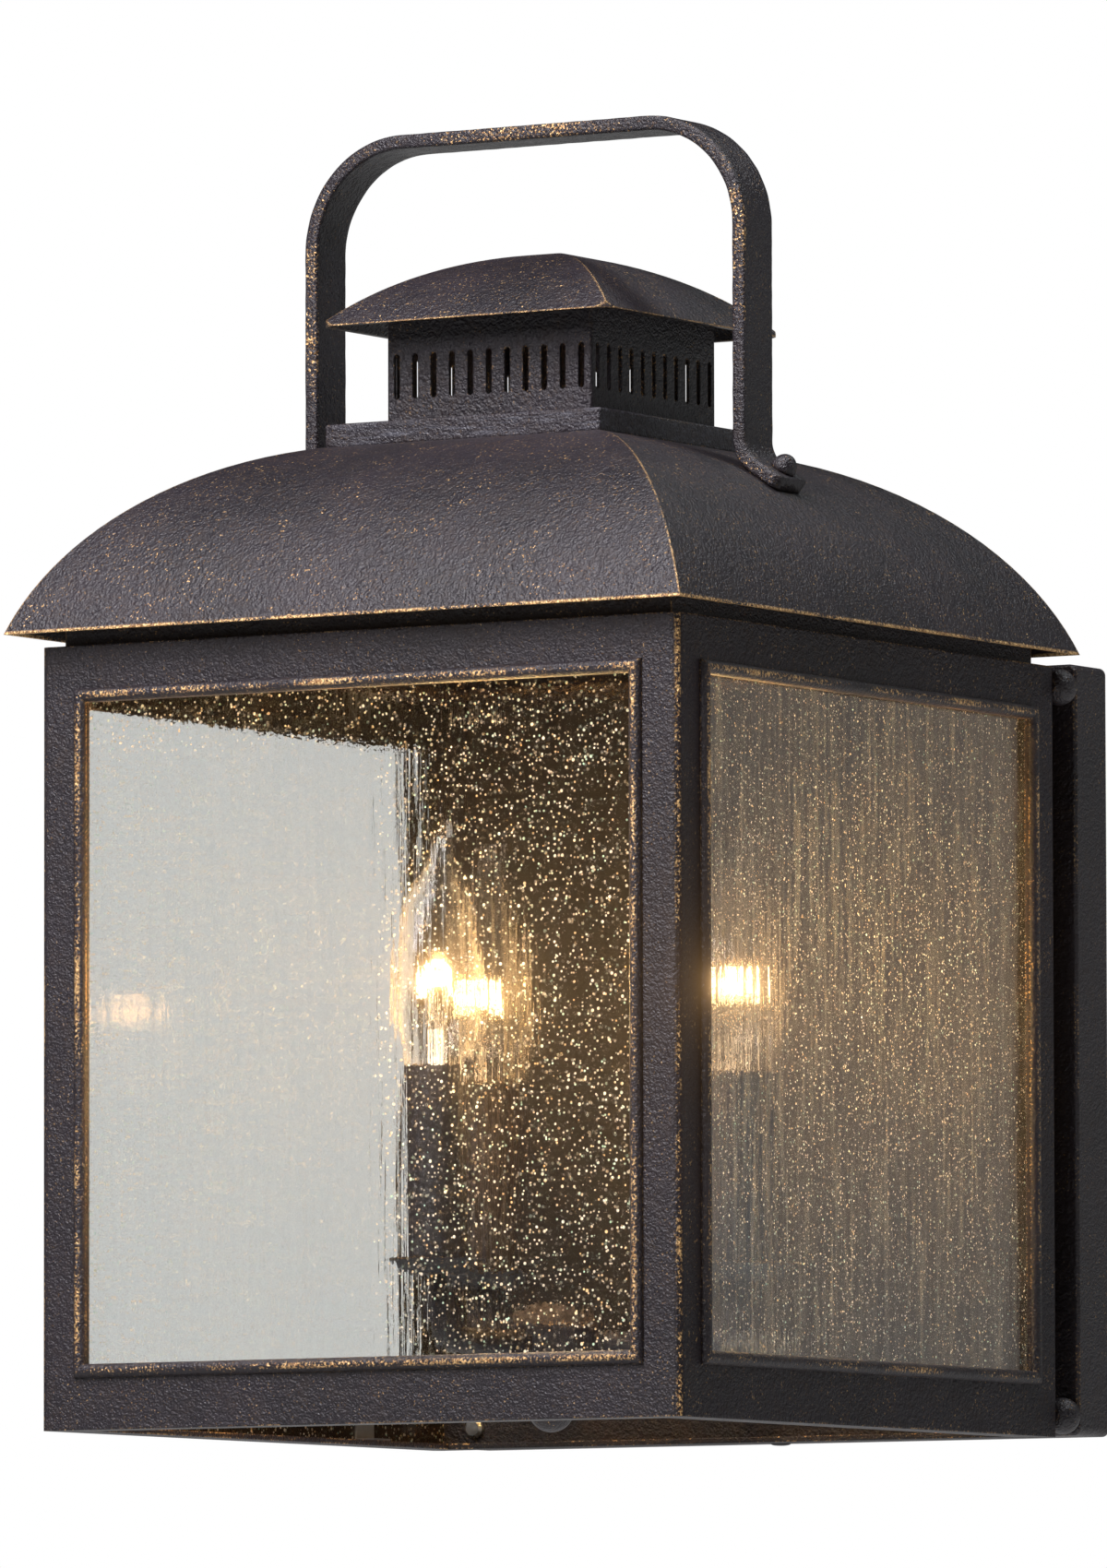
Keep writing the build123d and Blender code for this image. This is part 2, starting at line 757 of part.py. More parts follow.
grounding_screw = pan_screw(ground_screw_radius, bracket_sheet - slip)
with BuildPart() as ground_screw:
    with Locations(upright_plane(-bracket_sheet)):
        with Locations((ground_screw_x, ground_screw_z)):
            add(grounding_screw)
save(ground_screw.part, "ground_screw")

# Lamp cluster: the wire tube carries the hub from the plate and the back panel
arm_level = body_bottom + arm_height
cluster_middle = body_middle - cluster_forward
hub_plane = upright_plane(cluster_middle, body_bottom)
hub_axis = Axis((0, cluster_middle, 0), (0, 0, 1))
tube_plane = upright_plane(0, arm_level)
tube_start = -plate_inside - tube_nut_height - slip
tube_end = -cluster_middle - hub_core
with BuildPart() as wire_tube:
    with BuildSketch(tube_plane.offset(tube_start)):
        Circle(tube_radius)
        Circle(tube_bore, mode=Mode.SUBTRACT)
    extrude(amount=tube_end - tube_start)
save(wire_tube.part, "wire_tube")

tube_nut = hexagon_nut(tube_nut_flats, tube_nut_height, tube_radius + slip)
with BuildPart() as tube_nuts:
    with Locations(
        upright_plane(plate_inside, arm_level, way=1), upright_plane(panel_inside, arm_level)
    ):
        add(tube_nut)
save(tube_nuts.part, "tube_nuts")


def lamp_frame(turn):
    """Frame on the cluster's axis at the body's bottom, with x towards a lamp."""
    outward = (cos(radians(turn)), sin(radians(turn)), 0)
    return Plane(origin=(0, cluster_middle, body_bottom), x_dir=outward, z_dir=(0, 0, 1))


lamp_turns = [cluster_turn + index * 360 / lamp_count for index in range(lamp_count)]
band_low = arm_height - hub_band
band_high = arm_height + hub_band
bowl_radius = dome_radius(band_low - hub_bottom, hub_radius - knob_radius)
crown_radius = dome_radius(hub_radius, hub_top - band_high)
with BuildPart() as cluster_hub:
    with BuildSketch(hub_plane):
        with BuildLine():
            Polyline((0, hub_top), (0, hub_bottom), (knob_radius, hub_bottom))
            RadiusArc((knob_radius, hub_bottom), (hub_radius, band_low), -bowl_radius)
            Line((hub_radius, band_low), (hub_radius, band_high))
            RadiusArc((hub_radius, band_high), (0, hub_top), -crown_radius)
        make_face()
    revolve(axis=hub_axis)
    with BuildSketch(tube_plane.offset(tube_end)):
        Circle(tube_radius + slip)
    extrude(amount=-hub_radius, mode=Mode.SUBTRACT)
    for turn in lamp_turns:
        frame = lamp_frame(turn)
        bore_start = frame.from_local_coords((hub_core, 0, arm_height))
        with BuildSketch(Plane(origin=bore_start, z_dir=frame.x_dir)):
            Circle(arm_radius + slip)
        extrude(amount=hub_radius, mode=Mode.SUBTRACT)
save(cluster_hub.part, "cluster_hub")

knob_middle = knob_height + knob_radius
with BuildPart() as bottom_knob:
    with BuildSketch(hub_plane):
        with Locations((0, knob_middle)):
            Circle(knob_radius)
            Rectangle(knob_neck_radius, hub_bottom - knob_middle, align=(Align.MIN, Align.MIN))
            Rectangle(
                2 * knob_radius, 2 * hub_bottom, align=(Align.MAX, Align.CENTER), mode=Mode.SUBTRACT
            )
    revolve(axis=hub_axis)
save(bottom_knob.part, "bottom_knob")

# One arm with its cup, sleeve and socket, in the frame of a lamp
cup_seat = cup_height + cup_floor
cup_bore = arm_radius + slip
socket_top = sleeve_top - socket_rim
socket_bottom = socket_top - socket_length
arm_top = socket_bottom + socket_tail
lamp_axis = Axis((cluster_reach, 0, 0), (0, 0, 1))
lamp_section = Plane(origin=(cluster_reach, 0, 0), x_dir=(1, 0, 0), z_dir=(0, -1, 0))
with BuildPart() as arm:
    with BuildLine(Plane.XZ) as arm_line:
        FilletPolyline(
            (hub_core, arm_height),
            (cluster_reach, arm_height),
            (cluster_reach, arm_top),
            radius=arm_bend,
        )
    with BuildSketch(Plane(origin=arm_line.line @ 0, x_dir=(0, 0, 1), z_dir=arm_line.line % 0)):
        Circle(arm_radius)
        Circle(arm_bore, mode=Mode.SUBTRACT)
    sweep(path=arm_line.line)

with BuildPart() as cup:
    with BuildSketch(lamp_section):
        with BuildLine():
            Polyline(
                (cup_bore, cup_height),
                (cup_foot_radius, cup_height),
                (cup_radius, cup_height + cup_rise),
                (cup_radius - cup_floor, cup_height + cup_rise),
                (sleeve_radius, cup_seat),
                (cup_bore, cup_seat),
                close=True,
            )
        make_face()
    revolve(axis=lamp_axis)

with BuildPart() as sleeve:
    with BuildSketch(Plane.XZ):
        with Locations((cluster_reach + sleeve_radius, cup_seat)):
            Rectangle(sleeve_wall, sleeve_top - cup_seat, align=(Align.MAX, Align.MIN))
    revolve(axis=lamp_axis)

with BuildPart() as lamp_socket:
    with BuildSketch(Plane.XZ):
        with Locations((cluster_reach, socket_bottom)):
            Rectangle(socket_radius, socket_length, align=(Align.MIN, Align.MIN))
        with Locations((cluster_reach, socket_top)):
            Rectangle(socket_bore, socket_depth, align=(Align.MIN, Align.MAX), mode=Mode.SUBTRACT)
        with Locations((cluster_reach, socket_bottom)):
            Rectangle(cup_bore, socket_tail, align=(Align.MIN, Align.MIN), mode=Mode.SUBTRACT)
    revolve(axis=lamp_axis)

# One bulb on its own axis, with its origin at the level of the sleeve's top
foot_radius, foot_level = bulb_foot


def bulb_body(cut):
    """Solid in the bulb's outline, thinned by the glass where it is the hollow."""
    turns = (bulb_foot, bulb_neck, bulb_swell, bulb_belly, bulb_taper, bulb_shoulder)
    foot, neck, swell, belly, taper, shoulder = [(radius - cut, height) for radius, height in turns]
    tip = bulb_tip[:-1] if cut else bulb_tip
    with BuildPart() as body:
        with BuildSketch(Plane.XZ):
            with BuildLine():
                Polyline((0, shoulder[1]), (0, foot[1]), foot, neck)
                ThreePointArc(neck, swell, belly)
                ThreePointArc(belly, taper, shoulder)
                Line(shoulder, (0, shoulder[1]))
            make_face()
        revolve(axis=Axis.Z)
        for radius, height, lean in [(*bulb_shoulder, 0), *tip]:
            with BuildSketch(Plane(origin=(lean, 0, height), x_dir=(1, 0, 0), z_dir=(0, 0, 1))):
                Circle(radius - cut)
        loft()
    return body.part


glass_outside = bulb_body(0)
glass_inside = bulb_body(bulb_wall)
with BuildPart() as bulb_glass:
    add(glass_outside)
    add(glass_inside, mode=Mode.SUBTRACT)

with BuildPart() as bulb_base:
    with BuildSketch(Plane.XZ):
        with BuildLine():
            Polyline(
                (0, foot_level),
                (foot_radius, foot_level),
                (base_radius, foot_level - bulb_wall),
                (base_radius, foot_level - base_height),
                (base_tip_radius, foot_level - base_height - base_tip_height / 2),
                (base_tip_radius / 2, foot_level - base_height - base_tip_height),
                (0, foot_level - base_height - base_tip_height),
                close=True,
            )
        make_face()
    revolve(axis=Axis.Z)

stem_top = foot_level + stem_height
stem_waist = foot_level + stem_height / 2
with BuildPart() as bulb_mount:
    with BuildSketch(Plane.XZ):
        with BuildLine():
            Polyline(
                (0, foot_level),
                (stem_radius, foot_level),
                (stem_neck_radius, stem_waist),
                (stem_neck_radius, stem_top),
                (0, stem_top),
                close=True,
            )
        make_face()
    revolve(axis=Axis.Z)
    with BuildLine(Plane.XZ) as wires:
        FilletPolyline(
            (-lead_spread, stem_waist),
            (-lead_spread, stem_top + lead_bend),
            (-filament_half, filament_height),
            (filament_half, filament_height),
            (lead_spread, stem_top + lead_bend),
            (lead_spread, stem_waist),
            radius=lead_bend,
        )
    with BuildSketch(Plane(origin=wires.line @ 0, z_dir=wires.line % 0)):
        RegularPolygon(lead_radius, side_count=6)
    sweep(path=wires.line)

# The three lamps: each arm's pieces turn with it, while every bulb's tip leans the same way
for index, turn in enumerate(lamp_turns, start=1):
    frame = lamp_frame(turn)
    for piece, name in (
        (arm, f"cluster_arm_{index}"),
        (cup, f"candle_cup_{index}"),
        (sleeve, f"candle_sleeve_{index}"),
        (lamp_socket, f"socket_{index}"),
    ):
        with BuildPart() as placed:
            with Locations(frame):
                add(piece)
        save(placed.part, name)

    bulb_seat = frame.from_local_coords((cluster_reach, 0, sleeve_top))
    for piece, name in (
        (bulb_glass, f"bulb_{index}_glass"),
        (bulb_base, f"bulb_{index}_base"),
        (bulb_mount, f"bulb_{index}_mount"),
    ):
        with BuildPart() as placed:
            with Locations(bulb_seat):
                add(piece)
        save(placed.part, name)
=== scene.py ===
import json
from math import cos, pi, radians, sin, sqrt, tan

import bpy
from mathutils import Matrix, Vector, noise


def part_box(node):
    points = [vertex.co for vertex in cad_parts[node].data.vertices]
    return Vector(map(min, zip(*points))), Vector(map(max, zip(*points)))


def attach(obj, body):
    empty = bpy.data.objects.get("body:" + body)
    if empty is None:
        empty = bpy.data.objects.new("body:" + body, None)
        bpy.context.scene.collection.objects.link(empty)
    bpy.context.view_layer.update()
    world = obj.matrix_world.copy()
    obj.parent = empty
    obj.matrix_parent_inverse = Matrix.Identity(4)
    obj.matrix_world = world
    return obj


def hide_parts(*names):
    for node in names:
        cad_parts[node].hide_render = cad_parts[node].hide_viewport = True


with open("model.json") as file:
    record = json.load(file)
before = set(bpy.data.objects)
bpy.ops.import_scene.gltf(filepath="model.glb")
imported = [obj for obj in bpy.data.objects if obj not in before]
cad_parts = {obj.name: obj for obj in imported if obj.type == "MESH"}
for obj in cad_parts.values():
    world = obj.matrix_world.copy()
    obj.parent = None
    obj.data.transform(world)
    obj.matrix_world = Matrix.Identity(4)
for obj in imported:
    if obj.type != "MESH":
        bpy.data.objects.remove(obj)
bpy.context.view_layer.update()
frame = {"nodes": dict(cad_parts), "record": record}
nodes = frame["nodes"]
scene = bpy.context.scene
scene.view_settings.view_transform = "Standard"

# Places that the materials and the camera need, read from the frame
_, BODY_FRONT_Y, BODY_BOTTOM_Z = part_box("front_frame")[0]
BODY_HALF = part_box("right_frame")[1][0]
BODY_MIDDLE_Y = sum(corner[1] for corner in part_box("left_frame")) / 2
EAVE_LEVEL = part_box("roof_dome")[0][2]
STRAP_LOW, STRAP_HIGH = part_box("handle_strap")

# How far a bead stands out of its wall, and how high a filament's middle is over its sleeve
BEAD_RISE = 0.0025
FILAMENT_RISE = 0.031
LAMP_NUMBERS = (1, 2, 3)


def lamp_seat(number):
    """Middle of a candle sleeve's top."""
    low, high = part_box(f"candle_sleeve_{number}")
    return Vector(((low[0] + high[0]) / 2, (low[1] + high[1]) / 2, high[2]))


# Shader helpers

class Shader:
    """A material whose nodes are made by name, with inputs that are numbers or links."""

    def __init__(self, name):
        self.material = bpy.data.materials.new(name)
        self.material.use_nodes = True
        self.tree = self.material.node_tree
        self.tree.nodes.clear()
        self.output = self.tree.nodes.new("ShaderNodeOutputMaterial")

    def put(self, socket, value):
        if isinstance(value, bpy.types.NodeSocket):
            self.tree.links.new(value, socket)
        else:
            socket.default_value = value

    def node(self, kind, out=0, props=None, **inputs):
        made = self.tree.nodes.new(kind)
        for key, value in (props or {}).items():
            setattr(made, key, value)
        for key, value in inputs.items():
            name = key.replace("_", " ")
            index = int(name[1:]) if name[0] == "i" and name[1:].isdigit() else name
            self.put(made.inputs[index], value)
        return made.outputs[out]

    def math(self, operation, first, second=0.0, clamp=False):
        return self.node(
            "ShaderNodeMath", 0, {"operation": operation, "use_clamp": clamp}, i0=first, i1=second
        )

    def times(self, *values):
        result = values[0]
        for value in values[1:]:
            result = self.math("MULTIPLY", result, value)
        return result

    def plus(self, *values):
        result = values[0]
        for value in values[1:]:
            result = self.math("ADD", result, value)
        return result

    def most(self, *values):
        result = values[0]
        for value in values[1:]:
            result = self.math("MAXIMUM", result, value)
        return result

    def ramp(self, value, low, high, to_low=0.0, to_high=1.0):
        return self.node(
            "ShaderNodeMapRange", 0, None, i0=value, i1=low, i2=high, i3=to_low, i4=to_high
        )

    def stretch(self, coords, scale):
        return self.node("ShaderNodeVectorMath", 0, {"operation": "MULTIPLY"}, i0=coords, i1=scale)

    def noise(self, coords, scale, detail=2.0, rough=0.5):
        if isinstance(scale, tuple):
            coords, scale = self.stretch(coords, scale), 1.0
        inputs = {"Vector": coords, "Scale": scale, "Detail": detail, "Roughness": rough}
        return self.node("ShaderNodeTexNoise", 0, None, **inputs)

    def cells(self, coords, scale):
        """Distance to the nearest of many scattered points, and that point's own random colour."""
        distance = self.node("ShaderNodeTexVoronoi", 0, None, Vector=coords, Scale=scale)
        return distance, distance.node.outputs[1]

    def part(self, vector, index):
        return self.node("ShaderNodeSeparateXYZ", index, None, Vector=vector)

    def mix(self, factor, first, second):
        made = self.tree.nodes.new("ShaderNodeMix")
        made.data_type = "RGBA"
        self.put(made.inputs[0], factor)
        self.put(made.inputs[6], first)
        self.put(made.inputs[7], second)
        return made.outputs[2]

    def blend(self, factor, first, second):
        return self.node("ShaderNodeMixShader", 0, None, i0=factor, i1=first, i2=second)

    def bump(self, height, distance, strength=1.0, normal=None):
        inputs = {"Strength": strength, "Distance": distance, "Height": height}
        if normal is not None:
            inputs["Normal"] = normal
        return self.node("ShaderNodeBump", 0, None, **inputs)

    def coords(self):
        return self.node("ShaderNodeTexCoord", 3)

    def finish(self, surface):
        self.tree.links.new(surface, self.output.inputs["Surface"])
        return self.material


def rgb(r, g, b):
    return (r, g, b, 1.0)


# Paint: noise scales from the broadest feature to the finest, and the depth of the orange peel
BROAD_SCALE = 14.0
RUB_PATCH_SCALE = 26.0
FLECK_PATCH_SCALE = 55.0
MOTTLE_SCALE = 190.0
WAVE_SCALE = 520.0
RUB_BREAK_SCALE = 950.0
FLECK_SCALE = 1000.0
PEEL_SCALE = 1150.0
GOLD_SCALE = 1300.0
PEEL_DEPTH = 0.00058
GOLD_DARK = rgb(0.30, 0.150, 0.060)
GOLD_LIGHT = rgb(0.95, 0.62, 0.27)
WARM_MOTTLE = rgb(0.030, 0.017, 0.012)


def rubbed_paint(
    name,
    dark,
    light,
    rub=0.5,
    rough=0.40,
    ridge=None,
    edge=0.0011,
    fleck=0.5,
    gloss=0.5,
    extra=None,
):
    """Orange-peel bronze paint, rubbed through to golden metal along its edges.

    rub says how much of an edge is bare, edge how wide it is, and fleck how strong the flecks
    between are. ridge is an optional (axis, low, high) band of the object's own place that is
    rubbed too, and a fourth item makes it a band on both sides of the middle. extra changes the
    finished colour."""
    s = Shader(name)
    at = s.coords()
    broad = s.noise(at, BROAD_SCALE, 3.0, 0.6)
    tone = s.mix(s.ramp(broad, 0.36, 0.66), dark, light)
    mottle = s.noise(at, MOTTLE_SCALE, 3.0, 0.65)
    tone = s.mix(s.ramp(mottle, 0.46, 0.76, 0.0, 0.45), tone, WARM_MOTTLE)
    peel = s.noise(at, PEEL_SCALE, 2.0, 0.55)
    wave = s.noise(at, WAVE_SCALE, 1.0, 0.5)
    speck = s.noise(at, FLECK_SCALE, 1.0, 0.5)
    flecked = s.ramp(s.noise(at, FLECK_PATCH_SCALE, 2.0, 0.6), 0.42, 0.62, 0.10, 1.0)
    flecks = s.times(s.ramp(speck, 0.665, 0.72), flecked, fleck)
    geometry = s.node("ShaderNodeNewGeometry", 1)
    rounded = s.node("ShaderNodeBevel", 0, {"samples": 4}, Radius=edge)
    turn = s.node("ShaderNodeVectorMath", 1, {"operation": "DOT_PRODUCT"}, i0=geometry, i1=rounded)
    worn = s.ramp(turn, 0.985, 0.90)
    if ridge:
        place = s.part(at, ridge[0])
        if len(ridge) > 3:
            place = s.math("ABSOLUTE", place)
        worn = s.most(worn, s.ramp(place, ridge[1], ridge[2]))
    breaks = s.noise(at, RUB_BREAK_SCALE, 2.0, 0.6)
    patches = s.noise(at, RUB_PATCH_SCALE, 3.0, 0.6)
    patch = s.plus(s.times(breaks, 0.55), s.times(patches, 0.45))
    threshold = 0.60 - 0.20 * rub
    worn = s.times(worn, s.ramp(patch, threshold, threshold + 0.04))
    gold = s.mix(s.ramp(s.noise(at, GOLD_SCALE), 0.40, 0.60), GOLD_DARK, GOLD_LIGHT)
    bare = s.math("MAXIMUM", worn, flecks, True)
    colour = s.mix(bare, tone, gold)
    if extra:
        colour = extra(s, at, colour)
    height = s.plus(peel, s.times(wave, 0.9))
    bump = s.bump(height, PEEL_DEPTH, 1.0, rounded)
    roughness = s.ramp(mottle, 0.3, 0.7, rough - 0.06, rough + 0.08)
    bsdf = s.node(
        "ShaderNodeBsdfPrincipled",
        Base_Color=colour,
        Roughness=roughness,
        Metallic=s.times(bare, 0.5),
        Specular_IOR_Level=gloss,
        Normal=bump,
    )
    return s.finish(bsdf)


SCUFF_STRETCH = (60.0, 400.0, 900.0)
SCUFF_TONE = rgb(0.11, 0.115, 0.14)


def scuffed(s, at, colour):
    """Pale scuffs along the collar."""
    marks = s.ramp(s.noise(at, SCUFF_STRETCH, 4.0, 0.7), 0.50, 0.70)
    return s.mix(s.times(marks, 0.55), colour, SCUFF_TONE)


# Plated metal: noise scales of its tone, sheen and handling marks, and the marks' depth
TARNISH_SCALE = 60.0
SHEEN_SCALE = 120.0
MARK_SCALE = 900.0
MARK_DEPTH = 0.0003


def plated(name, dark, light, rough=0.35, metal=1.0):
    """Plated or bare metal with fine handling marks."""
    s = Shader(name)
    at = s.coords()
    tone = s.mix(s.ramp(s.noise(at, TARNISH_SCALE, 4.0, 0.6), 0.3, 0.7), dark, light)
    bump = s.bump(s.noise(at, MARK_SCALE, 3.0, 0.6), MARK_DEPTH, 0.15)
    roughness = s.ramp(s.noise(at, SHEEN_SCALE), 0.3, 0.7, rough - 0.08, rough + 0.12)
    bsdf = s.node(
        "ShaderNodeBsdfPrincipled",
        Base_Color=tone,
        Roughness=roughness,
        Metallic=metal,
        Normal=bump,
    )
    return s.finish(bsdf)


def let_light_through(s, surface, tint):
    """Lets shadow rays pass, so that lamps and sky light what lies behind the glass."""
    shadow = s.node("ShaderNodeLightPath", 1)
    clear = s.node("ShaderNodeBsdfTransparent", Color=tint)
    return s.blend(shadow, surface, clear)


# Window glass: noise stretches of its upright waves and lines, and its seeds in two sizes, each
# with its scale, its radius in cells and the light of the dimmest
SWELL_STRETCH = (110.0, 110.0, 9.0)
LINE_STRETCH = (520.0, 520.0, 22.0)
STREAK_STRETCH = (330.0, 330.0, 10.0)
VEIL_STRETCH = (240.0, 240.0, 6.0)
GLASS_GRAIN_SCALE = 700.0
GLASS_RELIEF = 0.00020
SEED_SIZES = ((400.0, 0.28, 0.25), (640.0, 0.31, 0.05))
# Seed tints: painted glint colours for the light that the clear bubbles catch from the warm lamps
# and the pale backdrop; the seeds' shading comes from the scene's lights
SEED_GLINT_GOLD = rgb(1.0, 0.72, 0.38)
SEED_GLINT_WHITE = rgb(1.0, 0.97, 0.86)
SEED_GLINT_TEAL = rgb(0.55, 0.90, 0.78)
CALM_SEEDS = 0.14
PANE_TINTS = (rgb(0.800, 0.812, 0.804), rgb(0.820, 0.830, 0.822))
PANE_SHADE = rgb(0.82, 0.84, 0.82)
WINDOW_IOR = 1.5


def seeded_glass(name, haze, share, glow, fine=1.0, clear=None):
    """Clear glass full of small seeds, tinted with painted glint colours, and fine upright draw
    lines.

    haze is the milkiness of the lines, share how many seeds are kept, glow how solid they are and
    fine how much smaller than usual. clear gives the places across and up the pane where its calm
    part turns into the seeded part."""
    s = Shader(name)
    at = s.coords()
    swell = s.noise(at, SWELL_STRETCH, 2.0, 0.5)
    lines = s.noise(at, LINE_STRETCH, 3.0, 0.6)
    grain = s.noise(at, GLASS_GRAIN_SCALE, 1.0, 0.5)
    streak = s.noise(at, STREAK_STRETCH, 2.0, 0.6)
    layers = []
    for scale, size, dimmest in SEED_SIZES:
        distance, tint = s.cells(at, scale * fine)
        kept = s.ramp(s.part(tint, 0), 1.0 - share, 1.02 - share)
        bright = s.math("POWER", s.part(tint, 1), 1.6)
        shape = s.ramp(distance, size, size * 0.75)
        layers.append(s.times(shape, kept, s.ramp(bright, 0.0, 1.0, dimmest, 1.0)))
    seeds = s.times(s.most(*layers), s.ramp(streak, 0.32, 0.60, 0.45, 1.0))
    if clear:
        dense = s.most(s.ramp(s.part(at, 0), *clear[0]), s.ramp(s.part(at, 2), *clear[1]))
        seeds = s.times(seeds, s.ramp(dense, 0.0, 1.0, CALM_SEEDS, 1.0))
    # Each seed gets one of the painted glint colours
    hue = s.part(tint, 2)
    colour = s.mix(s.ramp(hue, 0.0, 0.33), SEED_GLINT_GOLD, SEED_GLINT_WHITE)
    colour = s.mix(s.ramp(hue, 0.65, 1.0), colour, SEED_GLINT_TEAL)
    veiled = s.ramp(s.noise(at, VEIL_STRETCH, 2.0, 0.6), 0.35, 0.65)
    veil = s.times(s.ramp(lines, 0.50, 0.64), veiled, haze)
    height = s.plus(s.times(swell, 1.8), s.times(lines, 0.32), s.times(grain, 0.10))
    glass = s.node(
        "ShaderNodeBsdfPrincipled",
        Base_Color=s.mix(s.ramp(lines, 0.3, 0.7), *PANE_TINTS),
        Roughness=0.0,
        IOR=WINDOW_IOR,
        Transmission_Weight=1.0,
        Normal=s.bump(height, GLASS_RELIEF),
    )
    through = s.node("ShaderNodeBsdfTranslucent", Color=colour)
    back = s.node("ShaderNodeBsdfDiffuse", Color=colour)
    milk = s.blend(0.22, through, back)
    cover = s.math("ADD", s.times(seeds, glow), veil, True)
    return s.finish(let_light_through(s, s.blend(cover, glass, milk), PANE_SHADE))


BULB_SWELL_SCALE = 60.0
BULB_SWELL_DEPTH = 0.0006
BULB_TINTS = (rgb(0.985, 0.98, 0.965), rgb(0.96, 0.95, 0.93))
BULB_RIM = rgb(1.0, 0.97, 0.92)
BULB_SHADE = rgb(0.97, 0.97, 0.96)
BULB_IOR = 1.47


def bulb_glass(name):
    """Clear thin glass whose rim catches a little of the lamps' light."""
    s = Shader(name)
    swell = s.noise(s.coords(), BULB_SWELL_SCALE, 2.0, 0.5)
    tone = s.mix(s.ramp(swell, 0.3, 0.7), *BULB_TINTS)
    glass = s.node(
        "ShaderNodeBsdfPrincipled",
        Base_Color=tone,
        Roughness=0.0,
        IOR=BULB_IOR,
        Transmission_Weight=1.0,
        Normal=s.bump(swell, BULB_SWELL_DEPTH, 0.1),
    )
    rim = s.math("POWER", s.node("ShaderNodeLayerWeight", 1, None, Blend=0.5), 3.0)
    lit = s.node("ShaderNodeBsdfTranslucent", Color=BULB_RIM)
    return s.finish(let_light_through(s, s.blend(s.times(rim, 0.30), glass, lit), BULB_SHADE))


def glowing(name, low, high, strength):
    """Metal so hot that it gives light."""
    s = Shader(name)
    tone = s.mix(s.noise(s.coords(), MARK_SCALE), low, high)
    bsdf = s.node(
        "ShaderNodeBsdfPrincipled",
        Base_Color=tone,
        Roughness=0.5,
        Emission_Color=tone,
        Emission_Strength=strength,
    )
    return s.finish(bsdf)


# Each paint is a pair of dark and light tones
PAINT = (rgb(0.0105, 0.0082, 0.0115), rgb(0.0175, 0.0130, 0.0180))
# The roof's and cap's paint: the same bronze made lighter, painted light on the upward-facing
# sheets
LIT_ROOF_PAINT = (rgb(0.0130, 0.0110, 0.0140), rgb(0.0250, 0.0195, 0.0245))
# The back panel's paint: the same bronze made darker, painted shade for the unlit inside of the
# lantern
SHADED_INNER_PAINT = (rgb(0.0045, 0.0036, 0.0046), rgb(0.0075, 0.0058, 0.0074))
paint = rubbed_paint("rubbed_bronze", *PAINT, rub=0.6)
# Painted light: the roof and cap get a lighter copy of the bronze paint; their rubbed rim and
# flecks are wear
paint_roof_lit = rubbed_paint(
    "rubbed_bronze_roof_painted_light",
    *LIT_ROOF_PAINT,
    rub=0.75,
    fleck=0.8,
    ridge=(2, EAVE_LEVEL + 0.0013, EAVE_LEVEL + 0.0005),
)
front_paint = rubbed_paint(
    "rubbed_bronze_front",
    *PAINT,
    rub=0.36,
    ridge=(0, BODY_HALF - 0.0020, BODY_HALF - 0.0011, "both"),
)
side_paint = rubbed_paint(
    "rubbed_bronze_side",
    *PAINT,
    rub=0.36,
    gloss=0.26,
    ridge=(1, BODY_FRONT_Y + 0.0024, BODY_FRONT_Y + 0.0014),
)
paint_quiet = rubbed_paint("rubbed_bronze_quiet", *PAINT, rub=0.25, fleck=0.3)
paint_collar = rubbed_paint("rubbed_bronze_collar", *PAINT, rub=0.15, fleck=0.15, extra=scuffed)
paint_handle = rubbed_paint(
    "rubbed_bronze_handle",
    *PAINT,
    rub=0.12,
    fleck=0.4,
    edge=0.0012,
    ridge=(1, STRAP_LOW[1] + 0.0018, STRAP_LOW[1] + 0.0006),
)
front_ridge = rubbed_paint(
    "rubbed_bronze_front_bead",
    *PAINT,
    rub=0.42,
    ridge=(1, BODY_FRONT_Y - 0.0021, BODY_FRONT_Y - BEAD_RISE),
)
side_ridge = rubbed_paint(
    "rubbed_bronze_side_bead",
    *PAINT,
    rub=0.35,
    ridge=(0, BODY_HALF + 0.0021, BODY_HALF + BEAD_RISE, "both"),
)
# Painted shade: the back panel inside the lantern gets a darker copy of the bronze paint
paint_inner_shaded = rubbed_paint(
    "rubbed_bronze_inner_painted_shade", *SHADED_INNER_PAINT, rub=0.25, fleck=0.1, rough=0.55, gloss=0.3
)
zinc = plated("zinc_plate", rgb(0.30, 0.30, 0.29), rgb(0.52, 0.52, 0.50))
zinc_dark = plated(
    "blackened_steel", rgb(0.020, 0.020, 0.021), rgb(0.045, 0.044, 0.046), rough=0.45
)
clip_metal = plated("clip_metal", rgb(0.20, 0.20, 0.20), rgb(0.38, 0.37, 0.35), rough=0.45)
brass = plated("lamp_brass", rgb(0.55, 0.38, 0.15), rgb(0.78, 0.60, 0.30), rough=0.3)
stem = plated("lamp_stem", rgb(0.75, 0.72, 0.66), rgb(0.90, 0.88, 0.84), rough=0.2, metal=0.0)
phenolic = plated(
    "socket_phenolic", rgb(0.020, 0.019, 0.018), rgb(0.045, 0.042, 0.04), rough=0.5, metal=0.0
)
green = plated(
    "ground_green", rgb(0.02, 0.16, 0.05), rgb(0.06, 0.30, 0.12), rough=0.4, metal=0.4
)
pane_glass = seeded_glass("seeded_glass", 0.006, 0.56, 1.0)
front_glass = seeded_glass(
    "seeded_glass_front", 0.006, 0.56, 1.0, clear=((0.004, 0.022), (0.095, 0.112))
)
side_glass = seeded_glass("seeded_glass_side", 0.09, 0.50, 0.62, fine=1.35)
clear_glass = bulb_glass("bulb_glass")
HOT_WIRE_STRENGTH = 1300.0
hot_wire = glowing(
    "hot_filament", rgb(1.0, 0.60, 0.24), rgb(1.0, 0.74, 0.38), HOT_WIRE_STRENGTH
)

